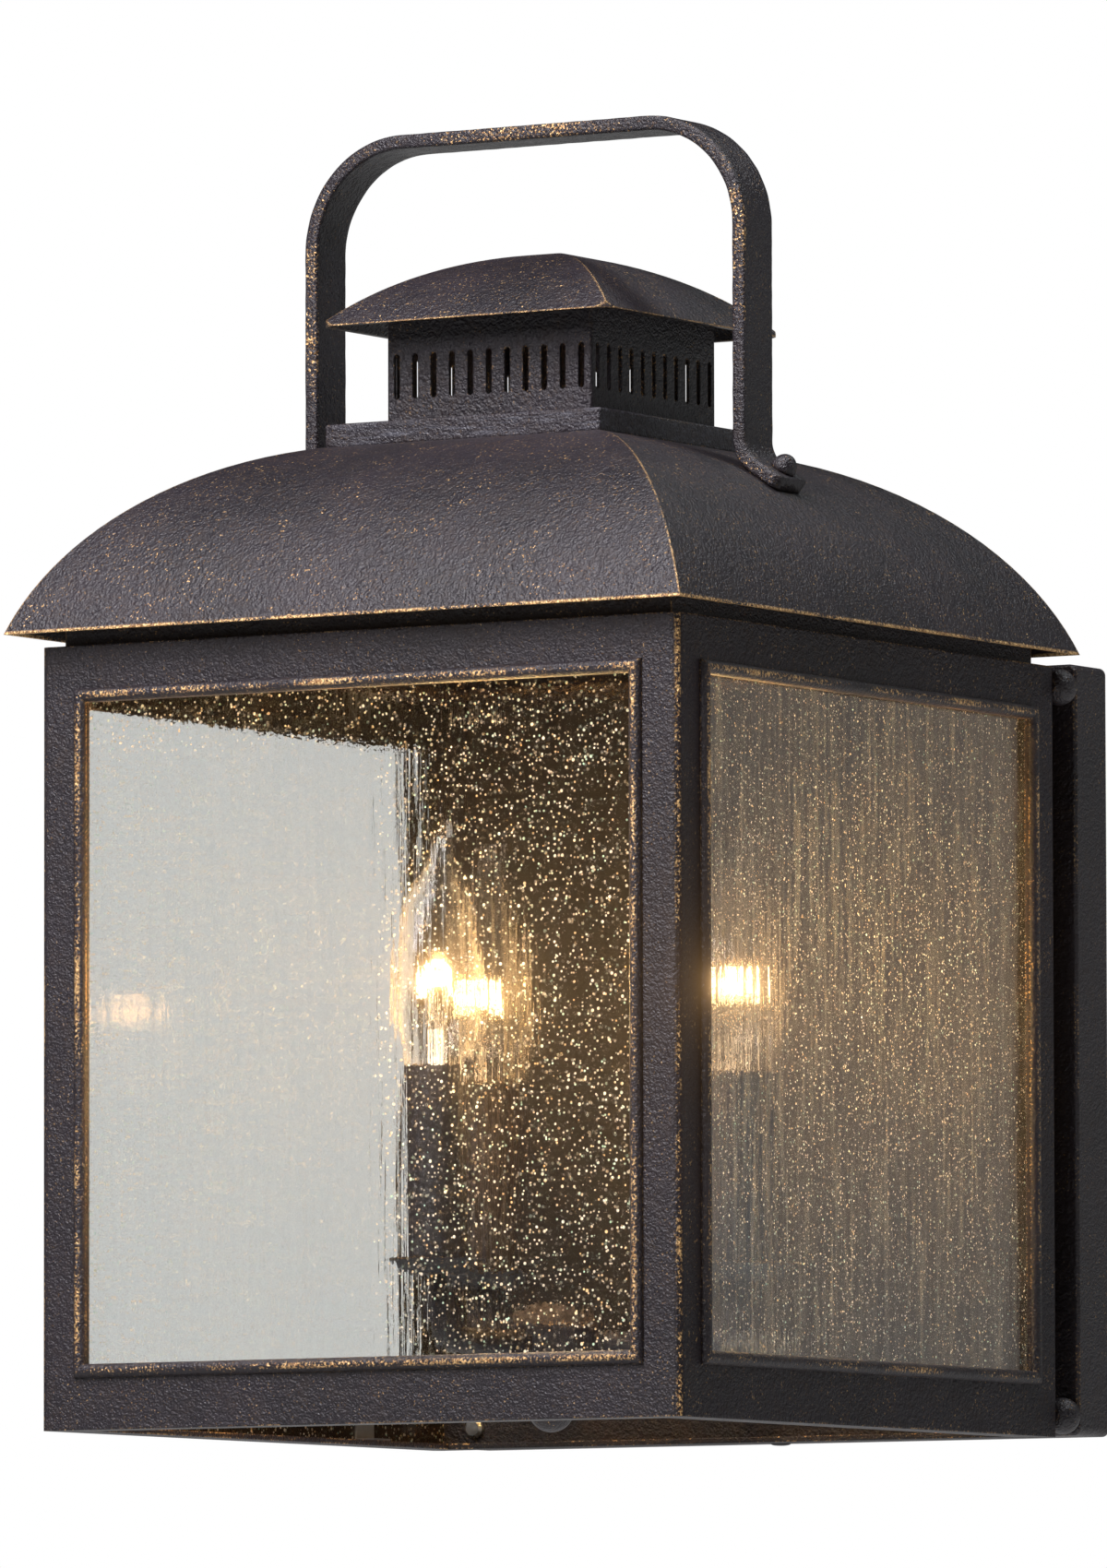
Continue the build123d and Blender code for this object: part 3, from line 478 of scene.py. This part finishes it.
by_node = {
    "front_bead": front_ridge,
    "left_bead": side_ridge,
    "right_bead": side_ridge,
    "roof_dome": paint_roof_lit,
    "vent_cap": paint_roof_lit,
    "roof_collar": paint_collar,
    "vent_box": paint_quiet,
    "handle_strap": paint_handle,
    "wall_plate": paint_quiet,
    "right_pane": side_glass,
    "back_panel": paint_inner_shaded,
    "front_pane": front_glass,
    "front_frame": front_paint,
    "left_frame": side_paint,
    "right_frame": side_paint,
}
by_slot = {
    "bronze_paint": paint,
    "sleeve": paint_quiet,
    "plated_steel": zinc,
    "clip_steel": clip_metal,
    "socket": phenolic,
    "lamp_base": brass,
    "lamp_mount": stem,
    "bulb_glass": clear_glass,
    "pane_glass": pane_glass,
    "green_screw": green,
}
slot_of = {part["node"]: part["material_slot"] for part in frame["record"]["subparts"]}
for name, obj in nodes.items():
    obj.data.materials.clear()
    obj.data.materials.append(by_node.get(name) or by_slot[slot_of[name]])


# Mesh pieces

def add_piece(name, verts, faces, material, body):
    """A smooth-shaded piece that rides on a body."""
    mesh = bpy.data.meshes.new(name)
    mesh.from_pydata(verts, [], faces)
    mesh.materials.append(material)
    for face in mesh.polygons:
        face.use_smooth = True
    piece = bpy.data.objects.new(name, mesh)
    scene.collection.objects.link(piece)
    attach(piece, body)
    return piece


def tube(path, radius, sides):
    """Vertices and faces of a closed round tube along a list of points."""
    verts, faces = [], []
    side = None
    for index, point in enumerate(path):
        ahead = path[min(index + 1, len(path) - 1)] - path[max(index - 1, 0)]
        ahead.normalize()
        if side is None:
            side = ahead.orthogonal().normalized()
        side = (side - ahead * side.dot(ahead)).normalized()
        other = ahead.cross(side)
        for step in range(sides):
            turn = 2 * pi * step / sides
            verts.append(point + side * (cos(turn) * radius) + other * (sin(turn) * radius))
    for ring in range(len(path) - 1):
        for step in range(sides):
            a = ring * sides + step
            b = ring * sides + (step + 1) % sides
            faces.append((a, b, b + sides, a + sides))
    faces.append(tuple(reversed(range(sides))))
    faces.append(tuple(range((len(path) - 1) * sides, len(path) * sides)))
    return verts, faces


# Handle strap and its rivets, softer than their solids, with feet and heads as photographed

STRAP_WIDTH = STRAP_HIGH[1] - STRAP_LOW[1]
STRAP_MIDDLE_Y = (STRAP_LOW[1] + STRAP_HIGH[1]) / 2
STRAP_THICKNESS = 0.0054
STRAP_EDGE = 0.0010
STRAP_HAMMERING = 0.00022
HAMMER_SCALE = 190.0
STRAP_STEP = 0.0011
STRAP_CORNER = 0.0383
FOOT_SLOPE = radians(34.0)
FOOT_BEND = 0.0120
FOOT_HEEL = 0.0131
FOOT_REACH = 0.0064
FOOT_GAP = 0.00005
FOOT_CORNER = 0.0032
FOOT_END_SHARES = (0.02, 0.1, 0.22, 0.38, 0.56, 0.78)
RIVET_SEAT = Vector((0.100007, STRAP_MIDDLE_Y, 0.196224))
RIVET_HEAD_RADIUS = 0.0047
RIVET_HEAD_HEIGHT = 0.0060
RIVET_RADIUS = 0.0025
RIVET_TAIL_FACE = -0.0016
RIVET_TAIL_HEIGHT = 0.0015
FOOT_NORMAL = Vector((sin(FOOT_SLOPE), 0.0, cos(FOOT_SLOPE)))
FOOT_ALONG = Vector((cos(FOOT_SLOPE), 0.0, -sin(FOOT_SLOPE)))


def rounded_route(corners, radii, step):
    """Points about one step apart along straight runs joined by arcs."""
    points = [corners[0]]
    for index, radius in enumerate(radii, start=1):
        before = (corners[index - 1] - corners[index]).normalized()
        after = (corners[index + 1] - corners[index]).normalized()
        half = before.angle(after) / 2
        centre = corners[index] + (before + after).normalized() * (radius / sin(half))
        first = corners[index] + before * (radius / tan(half)) - centre
        last = corners[index] + after * (radius / tan(half)) - centre
        sweep = first.angle(last)
        count = max(6, round(radius * sweep / step))
        for turn in range(count + 1):
            share = turn / count
            arm = (first * sin((1 - share) * sweep) + last * sin(share * sweep)) / sin(sweep)
            points.append(centre + arm)
    points.append(corners[-1])
    route = [points[0]]
    for point in points[1:]:
        gap = point - route[-1]
        count = max(1, round(gap.length / step))
        start = route[-1].copy()
        route.extend(start + gap * (part / count) for part in range(1, count + 1))
    return route


STRAP_PARTS_ACROSS = 10
STRAP_PARTS_THROUGH = 4
STRAP_CORNER_PARTS = 3


def strap_section(width):
    """Outline of the bar: places across it and through its thickness."""
    half, deep, edge = width / 2, STRAP_THICKNESS / 2, STRAP_EDGE
    outline = []
    for side, face in ((1, 1), (-1, 1), (-1, -1), (1, -1)):
        turns = range(STRAP_CORNER_PARTS + 1)
        for turn in turns if side * face > 0 else reversed(turns):
            angle = radians(90.0 / STRAP_CORNER_PARTS * turn)
            across = side * (half - edge + edge * cos(angle))
            outline.append((across, face * (deep - edge + edge * sin(angle))))
        if side * face > 0:
            for part in range(1, STRAP_PARTS_ACROSS):
                share = 1 - 2 * part / STRAP_PARTS_ACROSS
                outline.append((side * (half - edge) * share, face * deep))
        else:
            for part in range(1, STRAP_PARTS_THROUGH):
                share = 1 - 2 * part / STRAP_PARTS_THROUGH
                outline.append((side * half, face * (deep - edge) * share))
    return outline


def add_strap():
    """The handle: a hammered bar along an arch, with a foot on each side of the roof."""
    seat = RIVET_SEAT + FOOT_NORMAL * (STRAP_THICKNESS / 2 + FOOT_GAP)
    ankle = seat - FOOT_ALONG * FOOT_HEEL
    toe = seat + FOOT_ALONG * FOOT_REACH
    shoulder = Vector((ankle.x, ankle.y, STRAP_HIGH[2] - STRAP_THICKNESS / 2))
    mirror = Matrix.Diagonal((-1.0, 1.0, 1.0))
    right = [toe, ankle, shoulder]
    route = rounded_route(
        right + [mirror @ point for point in reversed(right)],
        [FOOT_BEND, STRAP_CORNER, STRAP_CORNER, FOOT_BEND],
        STRAP_STEP,
    )

    def from_end(point):
        return min((point - toe).length, (point - mirror @ toe).length)

    upward = (ankle - toe).normalized()
    ends = [toe + upward * (FOOT_CORNER * share) for share in FOOT_END_SHARES]
    inner = [point for point in route if from_end(point) > FOOT_CORNER]
    route = ends + inner + [mirror @ point for point in reversed(ends)]
    verts, faces = [], []
    for index, point in enumerate(route):
        ahead = (route[min(index + 1, len(route) - 1)] - route[max(index - 1, 0)]).normalized()
        outward = ahead.cross(Vector((0.0, 1.0, 0.0)))
        width = STRAP_WIDTH
        if from_end(point) < FOOT_CORNER:
            inset = FOOT_CORNER - from_end(point)
            width -= 2 * (FOOT_CORNER - sqrt(FOOT_CORNER**2 - inset**2))
        for across, through in strap_section(width):
            place = point + Vector((0.0, across, 0.0)) + outward * through
            dent = STRAP_HAMMERING * (0.5 + 0.5 * noise.noise(place * HAMMER_SCALE))
            sideways = Vector((0.0, across * (1.0 - dent / STRAP_WIDTH), 0.0))
            shrink = 1.0 - dent / (STRAP_THICKNESS / 2)
            verts.append(point + sideways + outward * (through * shrink))
    ring = len(strap_section(STRAP_WIDTH))
    for row in range(len(route) - 1):
        for step in range(ring):
            a, b = row * ring + step, row * ring + (step + 1) % ring
            faces.append((a, b, b + ring, a + ring))
    faces.append(tuple(reversed(range(ring))))
    faces.append(tuple(range((len(route) - 1) * ring, len(route) * ring)))
    strap = add_piece("handle_strap_forged", verts, faces, paint_handle, "lantern")
    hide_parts("handle_strap")


AXIS_RADIUS = 0.00001


def turned(profile, centre, axis, sides):
    """Vertices and faces of a closed profile of (radius, height) points turned about an axis."""
    axis = axis.normalized()
    first = axis.orthogonal().normalized()
    second = axis.cross(first)
    verts, faces = [], []
    for radius, height in profile:
        for step in range(sides):
            turn = 2 * pi * step / sides
            outward = first * cos(turn) + second * sin(turn)
            verts.append(centre + axis * height + outward * max(radius, AXIS_RADIUS))
    for row in range(len(profile) - 1):
        for step in range(sides):
            a, b = row * sides + step, row * sides + (step + 1) % sides
            faces.append((a, b, b + sides, a + sides))
    faces.append(tuple(reversed(range(sides))))
    faces.append(tuple(range((len(profile) - 1) * sides, len(profile) * sides)))
    return verts, faces


RIVET_SIDES = 36
RIVET_DOME_STEPS = 12
RIVET_TAIL_CHAMFER = 0.0003
RIVET_HEAD_FOOT = 0.0005
RIVET_HEAD_UNDERCUT = 0.0004
RIVET_HEAD_SINK = 0.0001


def dome(radius, foot, height, steps, hole=0.0):
    """Profile of a quarter ellipse from a head's rim to its middle or to a hole there."""
    turns = [radians(90.0 * step / steps) for step in range(steps + 1)]
    return [(hole + (radius - hole) * cos(turn), foot + height * sin(turn)) for turn in turns]


def add_rivets():
    """The feet's rivets, with a dome over the foot and a flat tail under the roof's sheet."""
    face = FOOT_GAP + STRAP_THICKNESS
    profile = [
        (RIVET_HEAD_RADIUS - RIVET_TAIL_CHAMFER, RIVET_TAIL_FACE - RIVET_TAIL_HEIGHT),
        (RIVET_HEAD_RADIUS, RIVET_TAIL_FACE - RIVET_TAIL_HEIGHT + RIVET_TAIL_CHAMFER),
        (RIVET_HEAD_RADIUS, RIVET_TAIL_FACE),
        (RIVET_RADIUS, RIVET_TAIL_FACE),
        (RIVET_RADIUS, face - RIVET_HEAD_SINK),
        (RIVET_HEAD_RADIUS - RIVET_HEAD_UNDERCUT, face - RIVET_HEAD_SINK),
    ]
    profile += dome(
        RIVET_HEAD_RADIUS,
        face + RIVET_HEAD_FOOT,
        RIVET_HEAD_HEIGHT - RIVET_HEAD_FOOT,
        RIVET_DOME_STEPS,
    )
    for hand in (1, -1):
        seat = Vector((hand * RIVET_SEAT.x, RIVET_SEAT.y, RIVET_SEAT.z))
        axis = Vector((hand * FOOT_NORMAL.x, 0.0, FOOT_NORMAL.z))
        verts, faces = turned(profile, seat, axis, RIVET_SIDES)
        name = "handle_rivet_right" if hand > 0 else "handle_rivet_left"
        rivet = add_piece(name, verts, faces, paint, "lantern")
        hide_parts("handle_rivets")


SCREW_SIDES = 28
SCREW_DOME_STEPS = 6
SCREW_HEAD = 0.0009
SCREW_HEAD_FOOT = 0.0002
SCREW_RECESS_RADIUS = 0.0006
SCREW_RECESS_DEPTH = 0.0005
SCREW_RADIUS = 0.0017
SCREW_TIP_RADIUS = 0.0015
SCREW_LENGTH = 0.0060
SCREW_TIP_LENGTH = 0.0005
SCREW_SEAT_GAP = 0.00002


def add_plate_screws():
    """The wall plate's top and bottom screws, with low domed heads that have a small recess."""
    low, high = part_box("plate_screws")
    plate_low, plate_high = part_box("wall_plate")
    radius = (high[0] - low[0]) / 2
    middle = [(low[axis] + high[axis]) / 2 for axis in (0, 1)]
    for name, level, way in (("low", plate_low[2], -1.0), ("high", plate_high[2], 1.0)):
        profile = [
            (SCREW_TIP_RADIUS, -SCREW_LENGTH),
            (SCREW_RADIUS, -(SCREW_LENGTH - SCREW_TIP_LENGTH)),
            (SCREW_RADIUS, SCREW_SEAT_GAP),
            (radius, SCREW_SEAT_GAP),
        ]
        head = SCREW_HEAD - SCREW_HEAD_FOOT
        profile += dome(radius, SCREW_HEAD_FOOT, head, SCREW_DOME_STEPS, SCREW_RECESS_RADIUS)
        profile.append((SCREW_RECESS_RADIUS, SCREW_HEAD - SCREW_RECESS_DEPTH))
        seat = Vector((middle[0], middle[1], level))
        verts, faces = turned(profile, seat, Vector((0.0, 0.0, way)), SCREW_SIDES)
        screw = add_piece(f"plate_screw_{name}", verts, faces, zinc_dark, "lantern")
        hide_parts("plate_screws")


add_strap()
add_rivets()
add_plate_screws()

FILAMENT_HALF = 0.0058
FILAMENT_HEIGHT = 0.0125
COIL_RADIUS = 0.00070
COIL_WIRE = 0.00027
COIL_TURNS = 22
COIL_STEPS = 10
COIL_WIRE_SIDES = 6


def add_filament(number):
    """The lit coil, an arch between a bulb's lead wires."""
    foot = lamp_seat(number) + Vector((0.0, 0.0, FILAMENT_RISE - FILAMENT_HEIGHT / 2))
    path = []
    for step in range(COIL_TURNS * COIL_STEPS + 1):
        share = step / (COIL_TURNS * COIL_STEPS)
        bow = pi * share
        middle = foot + Vector((-cos(bow) * FILAMENT_HALF, 0.0, sin(bow) * FILAMENT_HEIGHT))
        outward = Vector((-cos(bow), 0.0, sin(bow)))
        turn = 2 * pi * share * COIL_TURNS
        sideways = Vector((0.0, sin(turn) * COIL_RADIUS, 0.0))
        path.append(middle + outward * (cos(turn) * COIL_RADIUS) + sideways)
    verts, faces = tube(path, COIL_WIRE, COIL_WIRE_SIDES)
    coil = add_piece(f"filament_{number}", verts, faces, hot_wire, f"bulb_{number}")


for number in LAMP_NUMBERS:
    add_filament(number)


# Camera at the photograph's place: far off, a little below the lantern, aimed past its middle

VIEW_TURN = radians(31.546)
VIEW_RISE = radians(4.512)
VIEW_ROLL = radians(-0.12)
VIEW_DISTANCE = 5.2157
VIEW_ACROSS = 0.000265
VIEW_UPWARD = 0.054865
TARGET_RISE = 0.18
SENSOR_WIDTH = 36.0
FOCAL_LENGTH_PIXELS = 15647.0
IMAGE_HEIGHT_PIXELS = 1700.0


def aim_camera():
    turn, rise, roll = VIEW_TURN, VIEW_RISE, VIEW_ROLL
    back = Vector((sin(turn) * cos(rise), -cos(turn) * cos(rise), -sin(rise)))
    right = Vector((cos(turn), sin(turn), 0.0))
    up = right.cross(-back)
    across = cos(roll) * right + sin(roll) * up
    upward = -sin(roll) * right + cos(roll) * up
    target = Vector((0.0, BODY_MIDDLE_Y, TARGET_RISE + BODY_BOTTOM_Z))
    place = target + across * VIEW_ACROSS + upward * VIEW_UPWARD + back * VIEW_DISTANCE
    data = bpy.data.cameras.new("camera")
    data.sensor_width = SENSOR_WIDTH
    data.lens = FOCAL_LENGTH_PIXELS / IMAGE_HEIGHT_PIXELS * SENSOR_WIDTH
    data.clip_end = 100.0
    camera = bpy.data.objects.new("camera", data)
    scene.collection.objects.link(camera)
    camera.matrix_world = Matrix(
        (
            (across.x, upward.x, back.x, place.x),
            (across.y, upward.y, back.y, place.y),
            (across.z, upward.z, back.z, place.z),
            (0.0, 0.0, 0.0, 1.0),
        )
    )
    scene.camera = camera


aim_camera()


# Stage: a pale floor, a soft world and studio lights

FLOOR_LEVEL = -2.6
FLOOR_REACH = 40.0
FLOOR_GLOW = 0.60
FLOOR_TONES = (rgb(0.80, 0.80, 0.80), rgb(0.84, 0.84, 0.84))
FLOOR_MOTTLE_SCALE = 2.0


def add_floor():
    mesh = bpy.data.meshes.new("floor")
    corners = [(-1, -1), (1, -1), (1, 1), (-1, 1)]
    verts = [(x * FLOOR_REACH, y * FLOOR_REACH, FLOOR_LEVEL) for x, y in corners]
    mesh.from_pydata(verts, [], [(0, 1, 2, 3)])
    floor = bpy.data.objects.new("floor", mesh)
    scene.collection.objects.link(floor)
    s = Shader("pale_floor")
    tone = s.mix(s.noise(s.coords(), FLOOR_MOTTLE_SCALE), *FLOOR_TONES)
    bsdf = s.node(
        "ShaderNodeBsdfPrincipled",
        Base_Color=tone,
        Roughness=0.8,
        Emission_Color=tone,
        Emission_Strength=FLOOR_GLOW,
    )
    mesh.materials.append(s.finish(bsdf))


# The backdrop's middle, and the cosines from it and strengths between which its light rises
BACKDROP_TOWARD = (0.523, 0.852, 0.078)
BACKDROP_RISE = (0.88, 0.975, 0.020, 0.38)
BACKDROP_COLOUR = rgb(0.95, 0.98, 1.0)


def light_world():
    """White seen straight or through glass, and otherwise a dim studio with a paler backdrop."""
    world = bpy.data.worlds.new("studio")
    scene.world = world
    world.use_nodes = True
    tree = world.node_tree
    tree.nodes.clear()
    new, link = tree.nodes.new, tree.links.new
    out = new("ShaderNodeOutputWorld")
    place = new("ShaderNodeTexCoord")
    toward = new("ShaderNodeVectorMath")
    toward.operation = "DOT_PRODUCT"
    link(place.outputs["Generated"], toward.inputs[0])
    toward.inputs[1].default_value = Vector(BACKDROP_TOWARD).normalized()
    spread = new("ShaderNodeMapRange")
    spread.interpolation_type = "SMOOTHSTEP"
    for index, value in enumerate(BACKDROP_RISE, start=1):
        spread.inputs[index].default_value = value
    link(toward.outputs["Value"], spread.inputs[0])
    soft = new("ShaderNodeBackground")
    soft.inputs["Color"].default_value = BACKDROP_COLOUR
    link(spread.outputs[0], soft.inputs["Strength"])
    white = new("ShaderNodeBackground")
    white.inputs["Color"].default_value = rgb(1.0, 1.0, 1.0)
    white.inputs["Strength"].default_value = 1.0
    path = new("ShaderNodeLightPath")
    seen = new("ShaderNodeMath")
    seen.operation = "MAXIMUM"
    link(path.outputs["Is Camera Ray"], seen.inputs[0])
    link(path.outputs["Is Transmission Ray"], seen.inputs[1])
    bounced = new("ShaderNodeMath")
    bounced.operation = "ADD"
    link(path.outputs["Diffuse Depth"], bounced.inputs[0])
    link(path.outputs["Glossy Depth"], bounced.inputs[1])
    first_hand = new("ShaderNodeMath")
    first_hand.operation = "LESS_THAN"
    link(bounced.outputs[0], first_hand.inputs[0])
    first_hand.inputs[1].default_value = 0.5
    white_share = new("ShaderNodeMath")
    white_share.operation = "MULTIPLY"
    link(seen.outputs[0], white_share.inputs[0])
    link(first_hand.outputs[0], white_share.inputs[1])
    mix = new("ShaderNodeMixShader")
    link(white_share.outputs[0], mix.inputs[0])
    link(soft.outputs[0], mix.inputs[1])
    link(white.outputs[0], mix.inputs[2])
    link(mix.outputs[0], out.inputs["Surface"])


# Name, place, target, side, power and colour of each studio light
STUDIO_LIGHTS = (
    ("key", (-0.62, -1.65, 0.85), (0.05, -0.2, 0.0), 0.6, 12.5, (1.0, 0.94, 1.0)),
    ("top", (-0.10, -1.45, 1.65), (0.0, -0.2, 0.1), 0.9, 59.0, (0.98, 0.95, 1.0)),
    ("right_top", (0.9, 0.6, 2.2), (0.0, -0.2, 0.2), 0.9, 25.0, (0.93, 0.97, 1.0)),
)


def area_light(name, place, target, side, power, colour):
    data = bpy.data.lights.new(name, "AREA")
    data.shape = "RECTANGLE"
    data.size = data.size_y = side
    data.energy = power
    data.color = colour
    light = bpy.data.objects.new(name, data)
    scene.collection.objects.link(light)
    light.location = place
    light.rotation_mode = "QUATERNION"
    light.rotation_quaternion = (Vector(target) - Vector(place)).to_track_quat("-Z", "Y")


LAMP_POWER = 0.36
LAMP_COLOUR = (1.0, 0.53, 0.18)
LAMP_SOFTNESS = 0.003


def light_lamps():
    """A small warm light in the middle of each filament."""
    for number in LAMP_NUMBERS:
        data = bpy.data.lights.new(f"lamp_light_{number}", "POINT")
        data.energy = LAMP_POWER
        data.color = LAMP_COLOUR
        data.shadow_soft_size = LAMP_SOFTNESS
        light = bpy.data.objects.new(f"lamp_light_{number}", data)
        light.location = lamp_seat(number) + Vector((0.0, 0.0, FILAMENT_RISE))
        scene.collection.objects.link(light)


BLOOM = {"Threshold": 1.2, "Strength": 1.35, "Size": 0.44}


def add_bloom():
    """A soft flare round the lit filaments."""
    scene.use_nodes = True
    tree = scene.node_tree
    tree.nodes.clear()
    layers = tree.nodes.new("CompositorNodeRLayers")
    glare = tree.nodes.new("CompositorNodeGlare")
    glare.glare_type = "BLOOM"
    glare.quality = "HIGH"
    for key, value in BLOOM.items():
        glare.inputs[key].default_value = value
    out = tree.nodes.new("CompositorNodeComposite")
    tree.links.new(layers.outputs["Image"], glare.inputs["Image"])
    tree.links.new(glare.outputs["Image"], out.inputs["Image"])


add_floor()
light_world()
for studio_light in STUDIO_LIGHTS:
    area_light(*studio_light)
light_lamps()
add_bloom()
